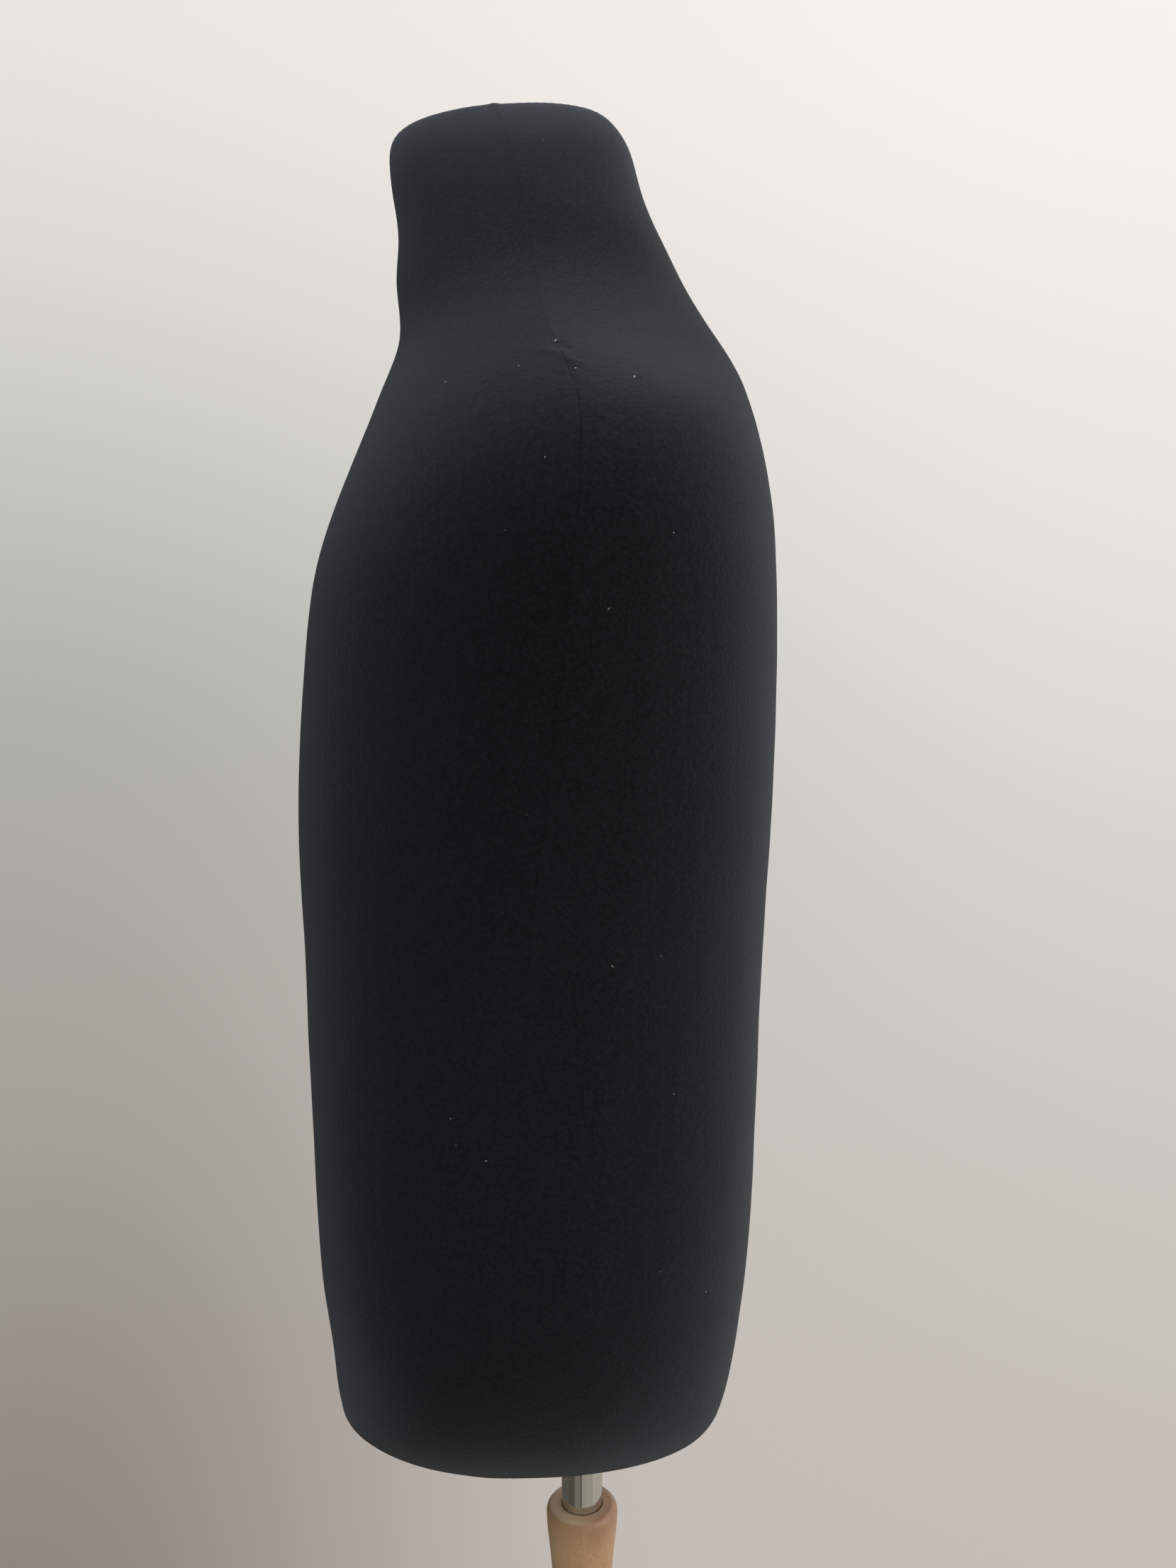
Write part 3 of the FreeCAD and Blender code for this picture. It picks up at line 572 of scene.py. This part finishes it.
def beech(name, rotation, turned_round=False, painted_light_and_shade=False):
    """Lacquered beech whose grain runs along the rotated Z axis."""
    made, n, skin = material(name)
    place = n.add("TexCoord").outputs["Object"]
    grain = n.stretched(place, (1, 1, 1), rotation)
    axes = n.parts(grain)
    off_x = n.math("ADD", axes[0], PITH_X)
    off_y = n.math("ADD", axes[1], PITH_Y)
    wander = n.noise(n.stretched(grain, (9.0, 9.0, 2.2)), 1.0, 3.0)
    square_x, square_y = n.math("MULTIPLY", off_x, off_x), n.math("MULTIPLY", off_y, off_y)
    radius = n.math("SQRT", n.math("ADD", square_x, square_y))
    radius = n.math("MULTIPLY_ADD", wander, 0.011, radius)
    ring = n.math("SINE", n.math("MULTIPLY", radius, 2 * math.pi / RING))
    ring = n.math("MULTIPLY_ADD", ring, 0.5, 0.5)
    fibre = n.noise(n.stretched(grain, (900.0, 900.0, 22.0)), 1.0, 4.0, 0.6)
    band = n.noise(n.stretched(grain, (55.0, 55.0, 4.0)), 1.0, 3.0)
    fleck = n.add("TexVoronoi", {"Vector": n.stretched(grain, (520.0, 520.0, 210.0)), "Scale": 1.0})
    fleck = n.fade(fleck.outputs["Distance"], 0.16, 0.30, 1.0, 0.0)
    shade = n.mix(band, (0.455, 0.235, 0.108), (0.575, 0.325, 0.165))
    shade = n.mix(n.math("MULTIPLY", ring, 0.30), shade, (0.375, 0.187, 0.083))
    shade = n.mix(n.math("MULTIPLY", fibre, 0.35), shade, (0.63, 0.375, 0.200))
    shade = n.mix(n.math("MULTIPLY", fleck, 0.42), shade, (0.215, 0.103, 0.050))
    # On the column: painted light on its front side and on its flat top, and painted shade below
    # the top.
    if painted_light_and_shade:
        _, rearward, height = n.parts(place)
        patch = n.noise(place, 70.0, 3.0, 0.6)
        near_top = n.fade(height, TOP_SHADE_FROM, TOP_SHADE_TO)
        # Painted light: the column's front side is coloured lighter.
        painted_side_light = n.fade(rearward, -0.019, 0.012, 0.75, 0.0)
        shade = n.mix(painted_side_light, shade, (0.79, 0.485, 0.245))
        # Painted shade: a patchy dark red band below the column's top, strongest towards the rear.
        painted_shade_side = n.fade(rearward, -0.010, 0.012, 0.25, 1.0)
        painted_shade = n.math("MULTIPLY", near_top, n.math("MULTIPLY_ADD", patch, 0.7, 0.05), clamp=True)
        shade = n.mix(n.math("MULTIPLY", painted_shade, painted_shade_side), shade, (0.250, 0.118, 0.092))
        # Painted light: the flat top is coloured lighter, most at the front.
        flat_top = n.fade(height, FLAT_TOP_FROM, FLAT_TOP_TO)
        painted_top_light = n.math("MULTIPLY", flat_top, n.math("SUBTRACT", 1.0, painted_shade_side))
        shade = n.mix(painted_top_light, shade, (0.95, 0.68, 0.44))
    n.feed(skin["Base Color"], shade)
    n.feed(skin["Roughness"], n.math("MULTIPLY_ADD", fibre, 0.14, 0.38))
    skin["Specular IOR Level"].default_value = 0.42
    skin["Coat Weight"].default_value = 0.22
    skin["Coat Roughness"].default_value = 0.24
    surface = n.bump(fibre, 0.00006, 0.5)
    surface = n.bump(fleck, 0.00004, 0.4, surface)
    if turned_round:
        marks = n.noise(n.stretched(place, (3.0, 3.0, 1500.0)), 1.0, 2.0)
        surface = n.bump(marks, 0.00003, 0.5, surface)
    n.feed(skin["Normal"], surface)
    return made


def metal(name, shade, other, roughness, spread, scratch):
    """Bare or plated metal with slight clouding and drawn or turned marks."""
    made, n, skin = material(name)
    place = n.add("TexCoord").outputs["Object"]
    cloud = n.noise(place, 60.0, 4.0, 0.6)
    n.feed(skin["Base Color"], n.mix(cloud, shade, other))
    skin["Metallic"].default_value = 1.0
    smear = n.noise(n.stretched(place, (25.0, 25.0, 6.0)), 1.0, 4.0, 0.6)
    n.feed(skin["Roughness"], n.math("MULTIPLY_ADD", smear, spread, roughness))
    marks = n.noise(n.stretched(place, scratch), 1.0, 3.0, 0.7)
    n.feed(skin["Normal"], n.bump(marks, 0.00001, 0.35))
    return made


def moulded(name, shade, other, roughness, grain, depth):
    """Plastic or rubber with a moulded grain."""
    made, n, skin = material(name)
    place = n.add("TexCoord").outputs["Object"]
    cloud = n.noise(place, 35.0, 4.0, 0.6)
    n.feed(skin["Base Color"], n.mix(cloud, shade, other))
    grains = n.noise(place, grain, 3.0, 0.6)
    n.feed(skin["Roughness"], n.math("MULTIPLY_ADD", grains, 0.15, roughness))
    n.feed(skin["Normal"], n.bump(grains, depth, 0.6))
    return made


def plywood():
    """Plies that show as light and dark layers, with their grains crossed."""
    made, n, skin = material("plywood")
    place = n.add("TexCoord").outputs["Object"]
    height = n.parts(place)[2]
    ply = n.math("GREATER_THAN", n.math("PINGPONG", height, 2 * PLY), PLY)
    along_x = n.noise(n.stretched(place, (18.0, 420.0, 420.0)), 1.0, 4.0, 0.6)
    along_y = n.noise(n.stretched(place, (420.0, 18.0, 420.0)), 1.0, 4.0, 0.6)
    light = n.mix(along_x, (0.50, 0.36, 0.21), (0.70, 0.54, 0.36))
    dark = n.mix(along_y, (0.34, 0.22, 0.12), (0.50, 0.35, 0.20))
    n.feed(skin["Base Color"], n.mix(ply, light, dark))
    skin["Roughness"].default_value = 0.75
    n.feed(skin["Normal"], n.bump(along_x, 0.0001, 0.4))
    return made


def glass_tape():
    """Woven glass tape soaked in resin."""
    made, n, skin = material("glass_tape")
    place = n.add("TexCoord").outputs["Object"]
    axes = n.parts(place)
    warp = n.math("SINE", n.math("MULTIPLY", axes[1], 2 * math.pi / WEAVE))
    weft = n.math("SINE", n.math("MULTIPLY", axes[2], 2 * math.pi / WEAVE))
    weave = n.math("MULTIPLY", warp, weft)
    cloud = n.noise(place, 40.0, 4.0, 0.6)
    shade = n.mix(cloud, (0.50, 0.47, 0.36), (0.66, 0.63, 0.52))
    shade = n.mix(n.math("MULTIPLY_ADD", weave, 0.15, 0.15), shade, (0.36, 0.33, 0.24))
    n.feed(skin["Base Color"], shade)
    skin["Roughness"].default_value = 0.5
    n.feed(skin["Normal"], n.bump(weave, 0.0003, 0.6))
    return made


def finish_cad(materials):
    """Gives every CAD node the material of its slot."""
    slots = {part["node"]: part["material_slot"] for part in frame["record"]["subparts"]}
    for node, piece in frame["nodes"].items():
        made = materials.get(node) or materials[slots[node]]
        piece.data.materials.clear()
        piece.data.materials.append(made)


# ---- surroundings ----

# The room behind the object, as colours by direction from straight down (0) to straight up (1),
# on its darker left and on its lighter right.
ROOM_LEFT = [
    (0.0, (0.19, 0.160, 0.140)), (0.19, (0.240, 0.200, 0.175)), (0.33, (0.395, 0.372, 0.345)),
    (0.43, (0.400, 0.396, 0.366)), (0.51, (0.475, 0.482, 0.452)), (0.609, (0.710, 0.700, 0.665)),
    (0.69, (0.835, 0.795, 0.762)),
]
ROOM_RIGHT = [
    (0.0, (0.52, 0.46, 0.43)), (0.19, (0.545, 0.490, 0.455)), (0.33, (0.615, 0.585, 0.552)),
    (0.43, (0.695, 0.680, 0.645)), (0.51, (0.785, 0.765, 0.728)), (0.609, (0.885, 0.850, 0.818)),
    (0.69, (0.955, 0.905, 0.872)),
]

# The studio's grey levels by azimuth, from behind the object by way of its front: a dark front,
# a bright rear, and a thin dark band towards the camera.
STUDIO = [
    (0.0, 0.24), (0.07, 0.11), (0.25, 0.133), (0.34, 0.112), (0.378, 0.13), (0.392, 0.24),
    (0.455, 0.25), (0.468, 0.14), (0.492, 0.13), (0.504, 0.41), (0.614, 0.466), (0.656, 0.47),
    (0.665, 0.37), (0.676, 0.58), (0.88, 0.55), (0.97, 0.36), (1.0, 0.24),
]
STUDIO_LOW_TINT, STUDIO_HIGH_TINT = (1.0, 0.925, 0.775), (0.97, 0.99, 1.0)
STUDIO_TOP_LEVEL = 2.6


def world():
    """A plain pale room for the camera, and a studio for everything the object reflects."""
    made = bpy.data.worlds.new("studio")
    bpy.context.scene.world = made
    made.use_nodes = True
    n = Nodes(made.node_tree)
    axes = n.parts(n.add("TexCoord").outputs["Generated"])
    height = n.math("MULTIPLY_ADD", axes[2], 0.5, 0.5)
    darker = n.ramp(height, ROOM_LEFT, "B_SPLINE")
    lighter = n.ramp(height, ROOM_RIGHT, "B_SPLINE")
    above = n.fade(axes[1], -0.46, 0.46)
    below = n.fade(axes[1], -0.36, 0.06)
    higher = n.fade(height, 0.15, 0.5)
    rightward = n.math("MULTIPLY_ADD", higher, n.math("SUBTRACT", above, below), below)
    rightward = n.math("MAXIMUM", rightward, n.fade(axes[0], -0.68, -0.35))
    room = n.mix(rightward, darker, lighter)

    turn = n.math("ARCTAN2", axes[1], axes[0])
    azimuth = n.math("MULTIPLY_ADD", turn, 0.5 / math.pi, 0.5)
    around = n.ramp(azimuth, [(place, (level,) * 3) for place, level in STUDIO])
    around = n.add("SeparateColor", {0: around}).outputs[0]
    level = n.math("MULTIPLY", around, n.fade(axes[2], -0.25, 0.8, 1.0, STUDIO_TOP_LEVEL))
    tint = n.mix(n.fade(axes[2], -0.5, 0.0), STUDIO_LOW_TINT, STUDIO_HIGH_TINT)
    grey = n.add("CombineColor", {0: level, 1: level, 2: level}).outputs[0]
    studio = n.mix(1.0, tint, grey, "MULTIPLY")

    seen = n.add("LightPath").outputs["Is Camera Ray"]
    background = made.node_tree.nodes["Background"]
    n.feed(background.inputs["Color"], n.mix(seen, studio, room))
    background.inputs["Strength"].default_value = 1.0


FLOOR_RADIUS = 1.5
FLOOR_Z = -0.0005
FLOOR_RINGS, FLOOR_SIDES = 24, 96
FLOOR_FADE_FROM, FLOOR_FADE_TO = 0.42, 0.70


def floor():
    """A pale floor that fades out into the room."""
    places = [(0.0, 0.0, FLOOR_Z)]
    for i in range(1, FLOOR_RINGS + 1):
        for k in range(FLOOR_SIDES):
            turn = 2 * math.pi * k / FLOOR_SIDES
            radius = FLOOR_RADIUS * i / FLOOR_RINGS
            places.append((radius * math.cos(turn), radius * math.sin(turn), FLOOR_Z))
    faces = [(0, 1 + k, 1 + (k + 1) % FLOOR_SIDES) for k in range(FLOOR_SIDES)]
    for i in range(FLOOR_RINGS - 1):
        for k in range(FLOOR_SIDES):
            a = 1 + i * FLOOR_SIDES + k
            b = 1 + i * FLOOR_SIDES + (k + 1) % FLOOR_SIDES
            faces.append((a, a + FLOOR_SIDES, b + FLOOR_SIDES, b))
    mesh = bpy.data.meshes.new("floor")
    mesh.from_pydata(places, [], faces)
    piece = bpy.data.objects.new("floor", mesh)
    bpy.context.scene.collection.objects.link(piece)
    made, n, skin = material("floor")
    place = n.add("TexCoord").outputs["Object"]
    grain = n.noise(place, 6.0, 4.0, 0.5)
    n.feed(skin["Base Color"], n.mix(grain, (0.60, 0.56, 0.52), (0.66, 0.62, 0.58)))
    skin["Roughness"].default_value = 0.9
    distance = n.add("VectorMath", {0: place}, operation="LENGTH").outputs["Value"]
    n.feed(skin["Alpha"], n.fade(distance, FLOOR_FADE_FROM, FLOOR_FADE_TO, 1.0, 0.0))
    mesh.materials.append(made)


# Each lamp is (name, place, diameter, watts, colour). All are turned to the same point.
LAMPS = [
    ("overhead", (0.6, 0.4, 2.35), 1.3, 7.8, (1.0, 0.99, 0.97)),
    ("front", (0.3, -0.9, 1.9), 0.6, 7.0, (0.93, 0.97, 1.0)),
    ("window", (0.9, 2.3, 1.5), 1.6, 10.5, (0.98, 0.99, 1.0)),
]
LIT_PLACE = (0, 0, 1.1)


def lights():
    for name, place, size, watts, tint in LAMPS:
        lamp = bpy.data.lights.new(name, "AREA")
        lamp.shape = "DISK"
        lamp.size = size
        lamp.energy = watts
        lamp.color = tint
        piece = bpy.data.objects.new(name, lamp)
        piece.location = place
        towards = Vector(LIT_PLACE) - Vector(place)
        piece.rotation_euler = towards.to_track_quat("-Z", "Y").to_euler()
        bpy.context.scene.collection.objects.link(piece)
        piece.visible_camera = False


CAMERA_PLACE = (0.755, 0.0037, 1.1745)
CAMERA_TURN = (math.radians(82), 0, math.radians(90))
LENS = 30.6
SENSOR_HEIGHT = 36.0


def camera():
    """Level with the chest on the torso's left, looking slightly down."""
    lens = bpy.data.cameras.new("camera")
    lens.sensor_fit = "VERTICAL"
    lens.sensor_height = SENSOR_HEIGHT
    lens.lens = LENS
    piece = bpy.data.objects.new("camera", lens)
    piece.location = CAMERA_PLACE
    piece.rotation_euler = CAMERA_TURN
    bpy.context.scene.collection.objects.link(piece)
    bpy.context.scene.camera = piece


# ---- the scene ----

form = form_of([frame["nodes"][node].data for node in ("front_cover", "rear_cover")])
cloth = jersey()
panels = []
for name, rearward, node, shell in (("front_jersey", False, "front_cover", "front_shell"),
                                    ("rear_jersey", True, "rear_cover", "rear_shell")):
    piece = panel(name, rearward, form)
    panels.append(piece.data)
    piece.data.materials.append(cloth)
    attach(piece, "torso")
    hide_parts(node)

fibres = lint(form_of(panels))
fibres.data.materials.append(lint_fibre())
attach(fibres, "torso")

leg_lean = math.radians(48)
finish_cad({
    "stand_column": beech("beech_column", (0, 0, 0), turned_round=True, painted_light_and_shade=True),
    "leg_front": beech("beech_leg_front", (leg_lean, 0, 0)),
    "leg_rear_left": beech("beech_leg_rear_left", (leg_lean, 0, math.radians(-120))),
    "leg_rear_right": beech("beech_leg_rear_right", (leg_lean, 0, math.radians(120))),
    "jersey": cloth,
    "shell": moulded("shell", (0.60, 0.55, 0.44), (0.72, 0.68, 0.57), 0.45, 700.0, 0.0001),
    "strip": glass_tape(),
    "plywood": plywood(),
    "beech": beech("beech", (math.radians(90), 0, 0)),
    "chrome": metal("chrome", (0.56, 0.56, 0.545), (0.62, 0.62, 0.61),
                    0.055, 0.05, (700.0, 700.0, 12.0)),
    "steel": metal("steel", (0.52, 0.52, 0.52), (0.62, 0.61, 0.58),
                   0.26, 0.14, (300.0, 300.0, 300.0)),
    "brass": metal("brass", (0.66, 0.46, 0.18), (0.74, 0.56, 0.26),
                   0.22, 0.14, (400.0, 60.0, 400.0)),
    "black_plastic": moulded("black_plastic", (0.014, 0.014, 0.015), (0.022, 0.022, 0.023),
                             0.42, 1400.0, 0.00008),
    "pad_rubber": moulded("pad_rubber", (0.028, 0.028, 0.028), (0.048, 0.047, 0.045),
                          0.75, 900.0, 0.0002),
})

world()
floor()
lights()
camera()
bpy.context.scene.view_settings.view_transform = "Standard"

bpy.context.view_layer.update()
